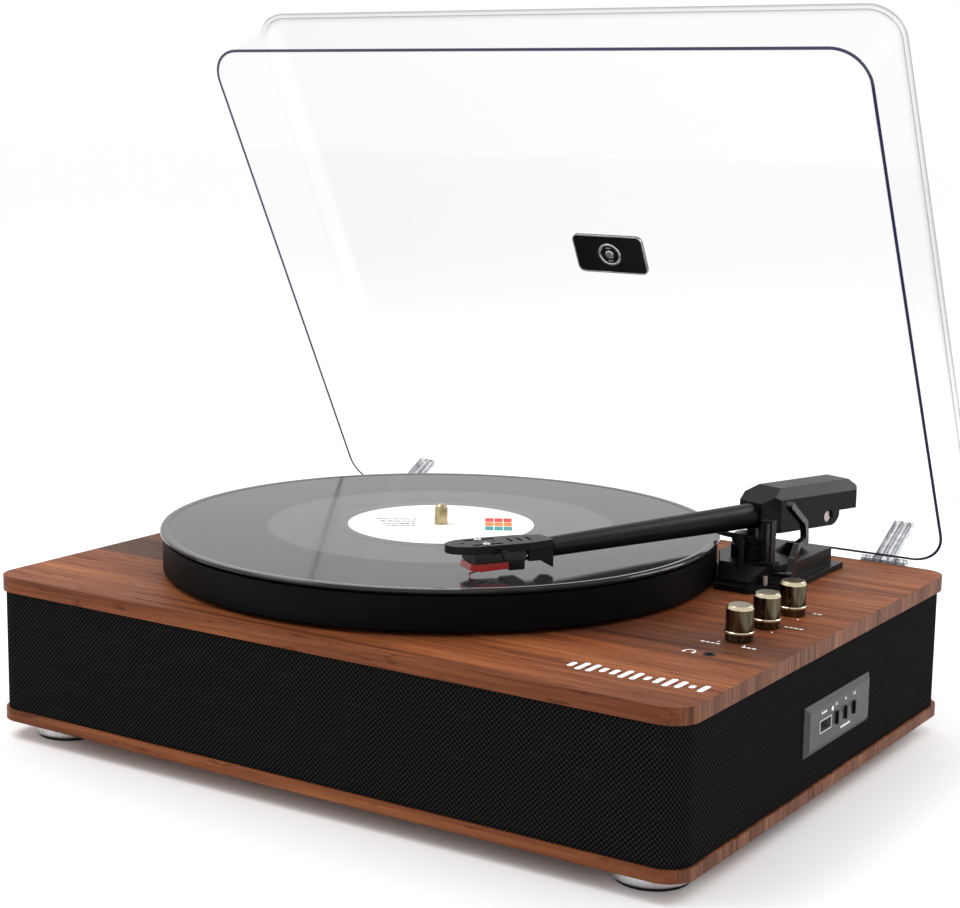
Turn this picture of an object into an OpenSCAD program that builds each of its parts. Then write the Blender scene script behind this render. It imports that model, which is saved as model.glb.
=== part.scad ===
// Turntable record player with built-in speakers and a hinged clear dust cover.
// Origin: plinth centre on the floor. +X right, -Y front, +Z up. Millimetres.

/* [Plinth] */
// Width of the top and bottom boards
board_w = 410; // [340:1:500]
// Depth of the top and bottom boards
board_d = 312; // [312:1:380]
// Corner radius of the boards
corner_r = 14; // [10:1:40]
// Thickness of the top board
top_t = 8; // [6:0.5:15]
// Thickness of the bottom board
base_t = 6; // [4:0.5:12]
// Height of the cabinet walls between the boards
wall_h = 64; // [60:1:90]
// Thickness of the cabinet walls
wall_t = 9; // [6:0.5:12]
// Set-back of the speaker cloth from the board edge
cloth_inset = 1.5; // [0.5:0.5:4]
// Thickness of the speaker cloth
cloth_t = 1; // [0.6:0.1:2]
// Height of the feet
foot_h = 10; // [6:0.5:20]
// Radius of the feet
foot_r = 20; // [12:1:26]
// Distance of a foot centre from the board edges
foot_inset = 28; // [26:1:45]

/* [Record and platter] */
// Left-right position of the spindle
rec_x = -27.5; // [-60:0.5:0]
// Front-back position of the spindle
rec_y = 3.5; // [-10:0.5:20]
// Platter radius
platter_r = 149.5; // [120:0.5:150]
// Platter edge height
platter_h = 17.8; // [12:0.2:25]
// Gap under the platter
platter_gap = 2; // [1.5:0.5:5]
// Slip mat thickness
mat_t = 1.5; // [1:0.1:4]
// Record radius
record_r = 150.8; // [125:0.1:150.8]
// Record thickness
record_t = 2; // [1.2:0.1:3]
// Spindle radius at the record
spindle_r = 3.55; // [3.5:0.01:3.6]
// Spindle height above the record
spindle_up = 11; // [7:0.5:16]
// Radius of the drive ring under the platter
ring_r = 60; // [50:1:80]
// Radius of the motor pulley
pulley_r = 6; // [4:0.5:10]
// Distance from the spindle to the motor
motor_dist = 86; // [80:1:110]

/* [Tonearm] */
// Left-right position of the arm pivot
pv_x = 123; // [120:0.5:135]
// Front-back position of the arm pivot
pv_y = 79; // [60:0.5:90]
// Angle of the arm from the front-back line
arm_yaw = 19.7; // [15:0.1:23]
// Distance from the pivot to the headshell joint
tube_len = 141.4; // [134:0.2:145]
// Height of the arm tube centre above the board
arm_z = 34.5; // [34:0.1:36]
// Arm tube radius at the headshell
tube_r1 = 4.9; // [4:0.1:6]
// Arm tube radius at the housing
tube_r2 = 6.8; // [5:0.1:7]
// Length of the arm housing behind the pivot
housing_back = 66.5; // [60:0.5:68]
// Half width of the arm housing
housing_w = 13; // [12:0.5:13]
// Headshell length
shell_len = 54.6; // [50:0.2:60]
// Angle between the headshell and the tube
shell_yaw = 13.4; // [8:0.1:20]

/* [Controls] */
// Left-right position of the knob row
knob_x = 173; // [165:1:180]
// Front-back position of the front knob
knob_y = -40; // [-60:1:-30]
// Knob spacing
knob_pitch = 30; // [20:1:34]
// Knob radius
knob_r = 6.8; // [5:0.1:9]
// Knob height
knob_h = 17.5; // [12:0.5:22]
// Width of the side panel
panel_w = 78; // [78:1:90]
// Height of the side panel
panel_h = 25; // [22:1:34]

/* [Dust cover] */
// Cover width
cover_w = 402; // [330:1:452]
// Cover depth
cover_d = 310; // [306:1:320]
// Cover height
cover_h = 55; // [55:1:80]
// Corner radius of the cover
cover_cr = 20; // [16:1:30]
// Cover wall thickness
cover_t = 2.5; // [2:0.5:3]
// Rounding of the cover's top edge
cover_e = 10; // [6:1:14]
// Angle the cover stands open
open_deg = 62; // [40:1:75]
// Distance of each hinge from the middle
hinge_x = 165; // [120:1:166]

/* [Hidden] */
$fn = 96;
e = 0.01;
clr = 0.3;
run = 0.05;
gap = 0.3;
zt = foot_h + base_t + wall_h + top_t;
zb = zt - top_t;
zw = foot_h + base_t;
cab_in = cloth_inset + cloth_t;
cab_x = board_w / 2 - cab_in;
cab_y = board_d / 2 - cab_in;
cab_r = corner_r - cab_in;

// Platter stack levels
plat_z = zt + platter_gap;
plat_top = plat_z + platter_h;
plat_plate = 4;
plat_rim = 6;
mat_top = plat_top + mat_t;
rec_top = mat_top + record_t;
record_hole_r = 3.65;
label_r = 50.5;
label_t = 0.15;
bearing_r = 8;
bearing_down = 22;
bearing_floor = 2.5;
ball_r = 2.5;
belt_z = zt + 5.5;
belt_h = 4;
belt_t = 0.8;
ring_t = 4;
motor_ang = 225;
motor_x = rec_x + motor_dist * cos(motor_ang);
motor_y = rec_y + motor_dist * sin(motor_ang);
motor_r = 17;
motor_h = 24;
shaft_r = 1;
pulley_z = zt + 3.6;
pulley_h = 8;

// Tonearm levels
az = zt + arm_z;
base_top = zt + 12;
flange_t = 3.4;
turret_r = 11.8;
turret_top = zt + 24.4;
turret_h = turret_top - base_top - gap;
yaw_r = 4;
post_r = 7;
post_down = 14;
ear_x = 5.5;
ear_t = 2.5;
ear_y = 3;
pitch_s = 6;
pin_r = 1.5;
house_lo = 26;
house_hi = 49;
tube_slope = (tube_r2 - tube_r1) / tube_len;
rest_x = pv_x + 14;
rest_y = pv_y - 17.5;
rest_t = 1.2;
rest_pitch = 3.2;
rest_h = 22;
rest_bar = az - tube_r2 - 1.2;
lift_ro = 22;
lift_ri = 19;
tube_r_lift = tube_r2 - lift_ri * tube_slope;
lift_t = 2;
lift_top = az - tube_r_lift - gap;
lift_post_deg = -84;
lift_post_r = 2;
lever_x = pv_x + 28.5;
lever_y = pv_y - 14.5;
lever_z = zt + 8.2;
lever_r = 1.7;
block_x = pv_x + 25;

// Headshell and cartridge levels
hs_top = zt + 39.5;
hs_t = 3.8;
tip_z = rec_top + 0.2;
stylus_s = shell_len - 12.8;

// Side panel
panel_y = 8;
panel_z = zt - 43;
panel_t = 2.4;
side_x = cab_x + cloth_t;

// Cover hinge
hinge_y = board_d / 2 + 5;
hinge_z = zt - 1;
hinge_r = 3.4;
hinge_w = 26;
hinge_pin_r = 1.5;
rim_gap = 0.6;

wood = [0.42, 0.19, 0.09];
dark = [0.05, 0.05, 0.055];
black = [0.08, 0.08, 0.085];
metal = [0.75, 0.75, 0.76];
brass = [0.55, 0.45, 0.26];
clear = [0.85, 0.9, 0.95, 0.3];
white = [0.9, 0.9, 0.88];
red = [0.6, 0.05, 0.04];
green = [0.05, 0.3, 0.14];

// Plain helpers
module rr(w, d, r) {
  square([w - 2 * r, d], center = true);
  square([w, d - 2 * r], center = true);
  for (x = [-1, 1], y = [-1, 1]) translate([x * (w / 2 - r), y * (d / 2 - r)]) circle(r);
}
module slab(w, d, r, z, h) translate([0, 0, z]) linear_extrude(h) rr(w, d, r);
module bar(x0, x1, y0, y1, z0, z1) translate([x0, y0, z0]) cube([x1 - x0, y1 - y0, z1 - z0]);
module at(x, y, z) translate([x, y, z]) children();
module post(x, y, z, h, r) translate([x, y, z]) cylinder(h = h, r = r);
module tube(x, y, z, h, r, bore) translate([x, y, z]) difference() {
  cylinder(h = h, r = r);
  at(0, 0, -1) cylinder(h = h + 2, r = bore);
}
module rod_x(x0, x1, y, z, r) translate([x0, y, z]) rotate([0, 90, 0]) cylinder(h = x1 - x0, r = r);
module rod_y(x, y0, y1, z, r) translate([x, y0, z]) rotate([-90, 0, 0]) cylinder(h = y1 - y0, r = r);
module corners(dx, dy) for (x = [-1, 1], y = [-1, 1]) translate([x * dx, y * dy, 0]) children();
// A straight round rod between two points in the plane of one X
module link(x, a, b, r) translate([x, a[0], a[1]]) rotate([atan2(b[1] - a[1], b[0] - a[0]) - 90, 0, 0])
  cylinder(h = norm(b - a), r = r);

// Cabinet
bar_n = 13;
bar_step = 5.5;
bar_wide = 2.9;
function bar_len(i) = 4 + 9 * abs(sin(i * 47 + 20));
mark_x = 163;
mark_y = -122;
inlay_deep = 0.6;
module wave(grow) for (i = [0 : bar_n - 1])
  translate([mark_x + (i - (bar_n - 1) / 2) * bar_step, mark_y]) {
    square([bar_wide, bar_len(i) - bar_wide] + [grow, grow], center = true);
    for (s = [-1, 1]) translate([0, s * (bar_len(i) - bar_wide) / 2]) circle((bar_wide + grow) / 2);
  }
screw_dx = cab_x - wall_t / 2;
screw_dy = cab_y - wall_t / 2;
jack_y = knob_y - 31;
module top_board() color(wood) difference() {
  slab(board_w, board_d, corner_r, zb, top_t);
  post(rec_x, rec_y, zb - 1, top_t + 2, bearing_r + clr);
  post(motor_x, motor_y, zb - 1, top_t + 2, shaft_r + 2);
  for (i = [0 : 2]) post(knob_x, knob_y + i * knob_pitch, zb - 1, top_t + 2, 3.6);
  post(knob_x, jack_y, zb - 1, top_t + 2, 3);
  post(pv_x, pv_y, zb - 1, top_t + 2, post_r + clr);
  post(pv_x + (lift_ri + lift_ro) / 2 * cos(lift_post_deg), pv_y + (lift_ri + lift_ro) / 2
    * sin(lift_post_deg), zb - 1, top_t + 2, lift_post_r + clr);
  at(0, 0, zt - inlay_deep) linear_extrude(1) wave(0);
}
module front_inlay() color(white) at(0, 0, zt - inlay_deep) linear_extrude(inlay_deep + 0.05) wave(0);
module base_board() color(wood) difference() {
  slab(board_w, board_d, corner_r, foot_h, base_t);
  corners(board_w / 2 - foot_inset, board_d / 2 - foot_inset) post(0, 0, foot_h - 1, base_t + 2, 1.6);
  for (x = [-1, 1], y = [-1, 0, 1]) post(x * screw_dx, y * (screw_dy - 40), foot_h - 1, base_t + 2, 2);
  for (i = [-4 : 4]) at(i * 12, -60, foot_h - 1) linear_extrude(base_t + 2) rr(4, 40, 1.9);
}
spk_x = 118;
spk_z = zw + wall_h / 2;
spk_bore = 24;
module cabinet_shell() color(black) difference() {
  slab(2 * cab_x, 2 * cab_y, cab_r, zw, wall_h);
  slab(2 * (cab_x - wall_t), 2 * (cab_y - wall_t), cab_r - wall_t, zw - 1, wall_h + 2);
  for (s = [-1, 1]) rod_y(s * spk_x, -cab_y - 1, -cab_y + wall_t + 1, spk_z, spk_bore);
  bar(cab_x - wall_t - 1, cab_x + 1, panel_y - panel_w / 2 + 3, panel_y + panel_w / 2 - 3,
    panel_z - panel_h / 2 + 3, panel_z + panel_h / 2 - 3);
  bar(-rear_w / 2 + 5, rear_w / 2 - 5, cab_y - wall_t - 1, cab_y + 1, rear_z - rear_h / 2 + 5,
    rear_z + rear_h / 2 - 5);
  for (x = [-1, 1], y = [-1, 0, 1]) post(x * screw_dx, y * (screw_dy - 40), zw - e, 14, 1.5);
}
module speaker_cloth() color(dark) difference() {
  slab(2 * (cab_x + cloth_t), 2 * (cab_y + cloth_t), cab_r + cloth_t, zw, wall_h);
  slab(2 * cab_x, 2 * cab_y, cab_r, zw - 1, wall_h + 2);
  bar(-board_w, board_w, cab_y - cab_r, board_d, 0, zt + 1);
  bar(cab_x - 1, board_w, panel_y - panel_w / 2 + 3, panel_y + panel_w / 2 - 3,
    panel_z - panel_h / 2 + 3, panel_z + panel_h / 2 - 3);
}
module cabinet_screws() color(metal) {
  for (x = [-1, 1], y = [-1, 0, 1]) at(x * screw_dx, y * (screw_dy - 40), foot_h) {
    cylinder(h = base_t + 12, r = 1.5);
    at(0, 0, -1.5) cylinder(h = 1.5, r = 3.5);
  }
  corners(board_w / 2 - foot_inset, board_d / 2 - foot_inset) at(0, 0, foot_pad_h) {
    cylinder(h = foot_h + base_t - foot_pad_h - 1, r = 1.5);
    cylinder(h = 2, r = 3.5);
  }
}
foot_pad_h = 2;
module feet() color(metal) corners(board_w / 2 - foot_inset, board_d / 2 - foot_inset)
  at(0, 0, foot_pad_h) difference() {
    rotate_extrude() polygon([[0, 0], [foot_r - 1.5, 0], [foot_r - 0.6, 1], [foot_r, foot_h - 4],
      [foot_r, foot_h - foot_pad_h], [0, foot_h - foot_pad_h]]);
    at(0, 0, -1) cylinder(h = foot_h + 2, r = 1.5);
    at(0, 0, -e) cylinder(h = 2 + e, r = 3.5);
  }
module foot_pads() color(dark) corners(board_w / 2 - foot_inset, board_d / 2 - foot_inset)
  tube(0, 0, 0, foot_pad_h, foot_r - 3, 4);

// Rear panel with its sockets
rear_w = 150;
rear_h = 44;
rear_z = zw + wall_h / 2;
rear_t = 2;
rca_x = -50;
aux_x = -10;
dc_x = 50;
module rear_panel() color(dark) difference() {
  at(0, cab_y, rear_z) rotate([-90, 0, 0]) linear_extrude(rear_t) rr(rear_w, rear_h, 4);
  for (x = [rca_x, rca_x + 18]) rod_y(x, cab_y - 1, cab_y + 4, rear_z, 5);
  rod_y(aux_x, cab_y - 1, cab_y + 4, rear_z, 4);
  rod_y(dc_x, cab_y - 1, cab_y + 4, rear_z, 4.6);
}
module rear_sockets() color(metal) {
  for (x = [rca_x, rca_x + 18]) difference() {
    union() {
      rod_y(x, cab_y - 8, cab_y + rear_t, rear_z, 5);
      rod_y(x, cab_y + rear_t - e, cab_y + rear_t + 8, rear_z, 4.2);
    }
    rod_y(x, cab_y - 5, cab_y + rear_t + 9, rear_z, 1.7);
  }
  difference() {
    rod_y(aux_x, cab_y - 14, cab_y + rear_t + 0.4, rear_z, 4);
    rod_y(aux_x, cab_y - 12, cab_y + rear_t + 1, rear_z, 1.8);
  }
  difference() {
    rod_y(dc_x, cab_y - 12, cab_y + rear_t, rear_z, 4.6);
    rod_y(dc_x, cab_y - 9, cab_y + rear_t + 1, rear_z, 2.8);
  }
  rod_y(dc_x, cab_y - 9 - e, cab_y + rear_t - 1, rear_z, 1);
}

// Controls on the top board
jack_bore = 1.8;
module headphone_jack() color(dark) difference() {
  union() {
    post(knob_x, jack_y, zb - 14, 14 + top_t + 0.3, 3);
    bar(knob_x - 6, knob_x + 6, jack_y - 6, jack_y + 6, zb - 14, zb);
  }
  post(knob_x, jack_y, zb - 12, 30, jack_bore);
}
pot_h = 11;
module control_bodies() color(metal) for (i = [0 : 2]) at(knob_x, knob_y + i * knob_pitch, zb - pot_h)
  difference() {
    union() {
      at(-8, -8, 0) cube([16, 16, pot_h]);
      cylinder(h = pot_h + top_t - 1, r = 3.6 - run);
    }
    at(0, 0, 2) cylinder(h = pot_h + top_t, r = 2.5 + run);
  }
module knob(i) color(brass) at(knob_x, knob_y + i * knob_pitch, zt + gap) difference() {
  rotate_extrude() polygon([[0, 0], [knob_r, 0], [knob_r, 3.2], [knob_r + 0.4, 3.6], [knob_r + 0.4, 4.4],
    [knob_r, 4.8], [knob_r - 0.2, knob_h - 2], [knob_r - 1.1, knob_h - 0.5],
    [knob_r - 1.5, knob_h - gap], [0, knob_h - gap]]);
  at(0, 0, -1) cylinder(h = 11, r = 2.5);
}
module knob_shaft(i) color(metal) post(knob_x, knob_y + i * knob_pitch, zb - pot_h + 2.1,
  zt + gap + 10 - (zb - pot_h + 2.1), 2.5);
module volume_knob() knob(0);
module source_knob() knob(1);
module power_knob() knob(2);
module volume_shaft() knob_shaft(0);
module source_shaft() knob_shaft(1);
module power_shaft() knob_shaft(2);
module control_marks() color(white) {
  for (i = [0 : 2], k = [-1 : 1]) at(knob_x, knob_y + i * knob_pitch, zt)
    rotate([0, 0, 90 + k * 140]) at(9.6, -0.3, 0) cube([1.8, 0.6, 0.1]);
  for (m = [[-14, -12.5, 4], [6.5, -11, 3], [7, 35, 4], [8, 67, 2]], j = [0 : m[2] - 1])
    at(knob_x + m[0] + j * 2.6, knob_y + m[1], zt) cube([1.9, 1.3, 0.1]);
  at(knob_x - 10, jack_y, zt) linear_extrude(0.1) difference() {
    circle(2.9);
    circle(2.3);
    translate([-3, -4.2]) square([6, 3]);
  }
  for (s = [-1, 1]) at(knob_x - 10 + s * 2.5, jack_y - 1.6, zt) cylinder(h = 0.1, r = 0.9);
}

// Side panel with socket and buttons
btn_y = [panel_y - 4, panel_y + 6.5, panel_y + 17];
usb_y = panel_y - 18;
usb_w = 14;
usb_h = 6.5;
btn_r = 3.2;
led_y = panel_y - 10;
bevel = 3;
module on_side(y, z) translate([side_x, y, z]) rotate([90, 0, 90]) children();
module button_area(grow) intersection() {
  circle(btn_r + grow);
  translate([-1 - grow, -9]) square([18, 18]);
}
// One face of the bevelled plate, drawn across its width w
module bevel_face(w) polygon([[-w / 2, 0], [w / 2, 0], [w / 2, 0.6], [w / 2 - bevel, panel_t],
  [-w / 2 + bevel, panel_t], [-w / 2, 0.6]]);
module control_panel() color(black) difference() {
  on_side(panel_y, panel_z) intersection() {
    at(0, panel_h / 2, 0) rotate([90, 0, 0]) linear_extrude(panel_h) bevel_face(panel_w);
    at(-panel_w / 2, 0, 0) rotate([90, 0, 90]) linear_extrude(panel_w) bevel_face(panel_h);
  }
  for (y = btn_y) on_side(y, panel_z) at(0, 0, -1) linear_extrude(panel_t + 2) button_area(gap);
  on_side(usb_y, panel_z) at(0, 0, -1) linear_extrude(panel_t + 2) square([usb_w, usb_h], center = true);
  on_side(led_y, panel_z + 6) at(0, 0, -1) cylinder(h = 5, r = 1.2);
}
module usb_socket() color(metal) difference() {
  on_side(usb_y, panel_z) at(0, 0, -12) linear_extrude(12 + panel_t + 0.3)
    square([usb_w, usb_h], center = true);
  on_side(usb_y, panel_z) at(0, 0, -11) linear_extrude(20) square([usb_w - 1, usb_h - 1], center = true);
}
module button(i) color(dark) {
  on_side(btn_y[i], panel_z) at(0, 0, -4) linear_extrude(4 + panel_t + 1.4) button_area(0);
  on_side(btn_y[i], panel_z) at(0, 0, -4) linear_extrude(2.2) button_area(0.9);
}
module previous_button() button(0);
module play_button() button(1);
module next_button() button(2);
module status_light() color(white) on_side(led_y, panel_z + 6) at(0, 0, -3)
  cylinder(h = 3 + panel_t + 0.2, r = 1.2);
module circuit_boards() color(green) {
  bar(knob_x - 18, knob_x + 18, jack_y - 14, knob_y + 2 * knob_pitch + 14, zb - 16, zb - 14);
  for (i = [0 : 2]) bar(knob_x - 4, knob_x + 4, knob_y + i * knob_pitch - 4,
    knob_y + i * knob_pitch + 4, zb - 14, zb - pot_h);
  difference() {
    bar(-70, 60, 60, 130, zw + 6, zw + 7.6);
    for (x = [-64, 54], y = [66, 124]) post(x, y, zw, 10, 1.6);
  }
  for (x = [-64, 54], y = [66, 124]) tube(x, y, zw, 6, 3, 1.6);
  bar(side_x - 22, side_x - 20.4, panel_y - 25, panel_y + 28, panel_z - 9, panel_z + 9);
}

// Loudspeakers behind the front wall
spk_r = 28;
module on_wall(s) translate([s * spk_x, -cab_y + wall_t, spk_z]) rotate([-90, 0, 0]) children();
module speaker_frame(s) color(black) on_wall(s) difference() {
  rotate_extrude() polygon([[0, 30], [20, 30], [20, 16], [14, 16], [24, 2], [spk_r, 2], [spk_r, 0],
    [22.6, 0], [12.6, 14], [9, 14], [9, 27], [0, 27]]);
  for (a = [45, 135, 225, 315]) rotate([0, 0, a]) at(25.6, 0, -1) cylinder(h = 4, r = 1);
}
module speaker_cone(s) color(dark) on_wall(s) rotate_extrude()
  polygon([[0, 9], [6, 9.6], [22, 0.6], [22.5, 0.0], [21.2, 0], [7, 7.6], [0, 6.6]]);
module left_speaker_frame() speaker_frame(-1);
module left_speaker_cone() speaker_cone(-1);
module right_speaker_frame() speaker_frame(1);
module right_speaker_cone() speaker_cone(1);

// Motor, belt and bearing
module motor_can() color(metal) difference() {
  union() {
    post(motor_x, motor_y, zb - motor_h, motor_h - 1.5, motor_r);
    at(motor_x, motor_y, zb - 1.5) linear_extrude(1.5) rr(48, 30, 6);
  }
  post(motor_x, motor_y, zb - motor_h + 2, motor_h + 5, shaft_r + run);
}
module motor_shaft() color(metal) post(motor_x, motor_y, zb - motor_h + 2.1,
  pulley_z + pulley_h - (zb - motor_h + 2.1), shaft_r);
module motor_pulley() color(brass) difference() {
  at(motor_x, motor_y, pulley_z) rotate_extrude() polygon([[0, 0], [pulley_r + 1.4, 0],
    [pulley_r + 1.4, 0.8], [pulley_r, 1.5], [pulley_r, pulley_h - 1.5], [pulley_r + 1.4, pulley_h - 0.8],
    [pulley_r + 1.4, pulley_h], [0, pulley_h]]);
  post(motor_x, motor_y, pulley_z - 1, pulley_h + 2, shaft_r);
}
// Two arcs joined by straight runs that lie on the common tangents
belt_a = acos((ring_r - pulley_r) / motor_dist);
belt_run = motor_dist * sin(belt_a);
module belt_arc(r, start, turn) rotate([0, 0, start]) rotate_extrude(angle = turn)
  translate([r + run, 0]) square([belt_t, belt_h]);
module drive_belt() color(dark) at(rec_x, rec_y, belt_z) rotate([0, 0, motor_ang]) {
  belt_arc(ring_r, belt_a, 360 - 2 * belt_a);
  translate([motor_dist, 0, 0]) belt_arc(pulley_r, -belt_a, 2 * belt_a);
  for (s = [0, 1]) mirror([0, s, 0]) rotate([0, 0, belt_a]) translate([ring_r + run, -belt_run - 0.2, 0])
    cube([belt_t, belt_run + 0.4, belt_h]);
}
bear_bot = zb - bearing_down;
module bearing_housing() color(metal) at(rec_x, rec_y, 0) difference() {
  union() {
    post(0, 0, bear_bot, zt + 1.2 - bear_bot, bearing_r);
    post(0, 0, zb - 2.5, 2.5, 18);
  }
  post(0, 0, bear_bot + bearing_floor, 60, spindle_r + run);
  for (a = [30, 150, 270]) rotate([0, 0, a]) post(13, 0, zb - 4, 6, 1.6);
}
module thrust_ball() color(metal) at(rec_x, rec_y, bear_bot + bearing_floor + ball_r) sphere(ball_r);
spindle_bot = bear_bot + bearing_floor + 2 * ball_r + 0.05;
groove_z = rec_top + 0.3;
module spindle() color(brass) at(rec_x, rec_y, 0) rotate_extrude() polygon([[0, spindle_bot],
  [spindle_r, spindle_bot], [spindle_r, groove_z], [spindle_r - 0.3, groove_z],
  [spindle_r - 0.3, groove_z + 0.5], [spindle_r, groove_z + 0.5], [spindle_r, rec_top + spindle_up - 3],
  [spindle_r - 0.6, rec_top + spindle_up - 1.2], [spindle_r - 1.8, rec_top + spindle_up - 0.2],
  [0, rec_top + spindle_up]]);
module platter() color(dark) at(rec_x, rec_y, 0) difference() {
  union() {
    tube(0, 0, plat_z, platter_h, platter_r, platter_r - plat_rim);
    tube(0, 0, plat_top - plat_plate, plat_plate, platter_r - 1, spindle_r);
    tube(0, 0, plat_z + 1.5, platter_h - 1.5, 13, spindle_r);
    tube(0, 0, plat_z + 1.5, platter_h - 1.5, ring_r, ring_r - ring_t);
  }
  difference() {
    post(0, 0, plat_z - 1, 1.8, platter_r + 1);
    post(0, 0, plat_z - 2, 3, platter_r - 0.8);
  }
}
module slip_mat() color(dark) tube(rec_x, rec_y, plat_top, mat_t, platter_r - 3, spindle_r + 0.15);
module record() color(dark) at(rec_x, rec_y, 0) rotate_extrude() polygon([[record_hole_r, mat_top],
  [record_r - 0.5, mat_top], [record_r, mat_top + 0.6], [record_r, rec_top - 0.6],
  [record_r - 0.5, rec_top], [record_r - 3, rec_top], [record_r - 5, rec_top - 0.25],
  [label_r + 8, rec_top - 0.25], [label_r + 4, rec_top - label_t], [record_hole_r, rec_top - label_t]]);
module record_label() color(white) tube(rec_x, rec_y, rec_top - label_t, label_t, label_r, record_hole_r);

// Tonearm base with its slope, block and bearing post
module base_plan(g) polygon([[pv_x - 12 + g, pv_y - 35 + g], [pv_x + 15 - g / 2, pv_y - 35 + g],
  [pv_x + 30 - g, pv_y - 2], [pv_x + 30 - g, pv_y + 52 - g], [pv_x - 27 + g, pv_y + 52 - g],
  [pv_x - 27 + g, pv_y]]);
lift_px = pv_x + (lift_ri + lift_ro) / 2 * cos(lift_post_deg);
lift_py = pv_y + (lift_ri + lift_ro) / 2 * sin(lift_post_deg);
slide_dir = [15, 33] / norm([15, 33]);
slide_x = pv_x + 18.2;
slide_y = pv_y - 23;
slide_go = 3.5;
module arm_base() color(dark) difference() {
  union() {
    at(0, 0, zt) linear_extrude(flange_t) base_plan(0);
    intersection() {
      at(0, 0, zt) linear_extrude(base_top - zt) base_plan(5);
      at(pv_x - 60, pv_y, zt) rotate([90, 0, 90]) linear_extrude(120) polygon([[-33, 0], [-33, flange_t],
        [-20, base_top - zt], [60, base_top - zt], [60, 0]]);
    }
    post(pv_x, pv_y, zb - post_down, post_down + top_t + 2, post_r);
    at(pv_x + 11, pv_y + 25, base_top - e) cylinder(h = 5, r1 = 10, r2 = 2.5);
  }
  post(rec_x, rec_y, zt - 1, 30, platter_r + 1.5);
  post(pv_x, pv_y, zb - post_down + 2, 80, yaw_r + run);
  post(lift_px, lift_py, zt - 1, 20, lift_post_r + run);
  rod_x(block_x - 9, block_x + 9, lever_y, lever_z, pin_r + run);
  at(slide_x, slide_y, zt + 0.4) rotate([0, 0, atan2(slide_dir[1], slide_dir[0])])
    at(slide_go / 2, 0, 0) linear_extrude(14) rr(slide_go + 4.4, 3.8, 1.85);
}
// Two upright plates with a bar that carries the parked arm and a stop beside it
module arm_rest() color(dark) {
  bar(rest_x - 2, rest_x + rest_pitch + 3, rest_y - 1, rest_y + 7, base_top, base_top + 2);
  for (k = [0, 1]) at(rest_x + k * rest_pitch, rest_y, base_top + 2 - e) {
    cube([rest_t, 5.5, rest_h]);
    at(-2, 0, rest_h - rest_t) cube([2 + e, 5.5, rest_t]);
  }
  bar(rest_x - 18, rest_x + e, rest_y, rest_y + 3, rest_bar - 2, rest_bar);
  bar(rest_x - 6.1, rest_x - 4.6, rest_y, rest_y + 3, rest_bar - 1, rest_bar + 4.5);
}
module speed_slider() color(metal) at(slide_x, slide_y, zt + 0.5)
  rotate([0, 0, atan2(slide_dir[1], slide_dir[0])]) {
    linear_extrude(1.5) rr(4, 3.2, 1.5);
    cylinder(h = 7.5, r = 1.4);
  }
module arm_turret() color(dark) {
  at(pv_x, pv_y, base_top + gap) rotate_extrude() polygon([[0, 0], [turret_r, 0], [turret_r, 7],
    [turret_r - 0.7, 7.4], [turret_r - 0.7, 8.2], [turret_r - 0.2, 8.6], [turret_r - 0.2, 10.4],
    [turret_r - 1.6, turret_h], [0, turret_h]]);
  post(pv_x, pv_y, zb - post_down + 2.1, base_top - (zb - post_down), yaw_r);
  in_arm() difference() {
    for (s = [-1, 1]) bar(s * (ear_x + ear_t / 2) - ear_t / 2, s * (ear_x + ear_t / 2) + ear_t / 2,
      pitch_s - ear_y, pitch_s + ear_y, turret_top - 1, az + 3.4);
    rod_x(-12, 12, pitch_s, az, pin_r + run);
  }
}
// Arm frame: origin on the pivot axis, -y towards the headshell
module in_arm() translate([pv_x, pv_y, 0]) rotate([0, 0, -arm_yaw]) children();
pin_half = 11.5;
module arm_pivot_pin() color(metal) in_arm() rod_x(-pin_half, pin_half, pitch_s, az, pin_r);
tube_end = -1.8;
module tube_cone() translate([0, -tube_len, az]) rotate([-90, 0, 0])
  cylinder(h = tube_len - tube_end, r1 = tube_r1, r2 = tube_r2 - tube_end * tube_slope);
spigot_r = 3;
spigot_l = 8;
module arm_tube() color(dark) in_arm() {
  tube_cone();
  rod_y(0, -tube_len - spigot_l, -tube_len + e, az, spigot_r);
}
lug_y = 46;
lug_z = zt + 32.6;
lug_r = 7;
weight_y = 43.5;
weight_z = zt + 31;
weight_r = 3.4;
nose = 3;
module house_side() polygon([[-nose, 27], [-nose, 42], [11, house_hi],
  [housing_back - 3, house_hi], [housing_back, 46], [housing_back, 33.6], [lug_y + 4, 33.6],
  [lug_y - 3, house_lo], [0, house_lo]]);
module house_plan() polygon([[-8.2, -nose], [8.2, -nose], [housing_w, 7],
  [housing_w, housing_back - 1.5], [housing_w - 1.5, housing_back], [-housing_w + 1.5, housing_back],
  [-housing_w, housing_back - 1.5], [-housing_w, 7]]);
module house_section() polygon([[-housing_w, 20], [housing_w, 20], [housing_w, 43.5],
  [housing_w - 5, house_hi], [-housing_w + 5, house_hi], [-housing_w, 43.5]]);
module arm_housing() color(dark) in_arm() difference() {
  union() {
    intersection() {
      at(-30, 0, zt) rotate([90, 0, 90]) linear_extrude(60) house_side();
      at(0, 0, zt) linear_extrude(60) house_plan();
      at(0, 80, zt) rotate([90, 0, 0]) linear_extrude(120) house_section();
    }
    rod_x(-housing_w + 1, housing_w - 1, lug_y, lug_z, lug_r);
  }
  bar(-8.6, 8.6, -tube_end, 36, zt + 20, zt + 41);
  tube_cone();
  rod_x(-pin_half, pin_half, pitch_s, az, pin_r);
  rod_x(-housing_w - 1, housing_w + 1, weight_y, weight_z, weight_r);
}
module counterweight() color(metal) in_arm() rod_x(-housing_w + 1.6, housing_w - 1.6, weight_y,
  weight_z, weight_r);

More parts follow.
